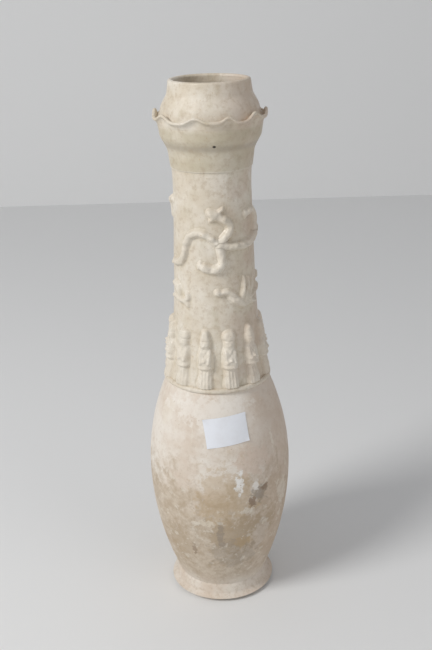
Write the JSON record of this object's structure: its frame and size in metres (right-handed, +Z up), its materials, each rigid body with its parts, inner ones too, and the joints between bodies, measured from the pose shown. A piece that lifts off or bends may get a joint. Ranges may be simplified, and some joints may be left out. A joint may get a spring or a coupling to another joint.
{
  "type": "tall glazed funerary vase",
  "caption": "Tall closed-body ceramic vase with a long neck, flaring cupped mouth, pinched frill and sprigged relief figures and dragon.",
  "frame": {"origin": "centre of the foot, on the surface the vase stands on", "axes": "+Z up along the vase's axis, -Y the side with the paper label, +X to the right when that side is looked at"},
  "size_m": [0.1362, 0.1362, 0.5],
  "materials": {
    "cream_glaze": "thin worn cream to straw glaze, satin",
    "bare_clay": "matt buff clay with soil stains",
    "paper": "matt white paper"
  },
  "bodies": {
    "root": {"foot_ring": "bare_clay", "lower_body": "bare_clay", "upper_body": "bare_clay", "neck": "cream_glaze", "mouth_cup": "cream_glaze", "mouth_collar": "cream_glaze", "shoulder_roll": "cream_glaze", "mouth_frill": "cream_glaze", "figure_01": "cream_glaze", "figure_02": "cream_glaze", "figure_03": "cream_glaze", "figure_04": "cream_glaze", "figure_05": "cream_glaze", "figure_06": "cream_glaze", "figure_07": "cream_glaze", "figure_08": "cream_glaze", "figure_09": "cream_glaze", "figure_10": "cream_glaze", "figure_11": "cream_glaze", "figure_12": "cream_glaze", "dragon_body": "cream_glaze", "dragon_back": "cream_glaze", "dragon_tail": "cream_glaze", "dragon_head": "cream_glaze", "dragon_left_foreleg": "cream_glaze", "dragon_right_foreleg": "cream_glaze", "dragon_left_hind_leg": "cream_glaze", "dragon_right_hind_leg": "cream_glaze", "bird": "cream_glaze", "cloud_1": "cream_glaze", "cloud_2": "cream_glaze", "cloud_3": "cream_glaze", "cloud_4": "cream_glaze", "paper_label": "paper"}
  },
  "joints": []
}
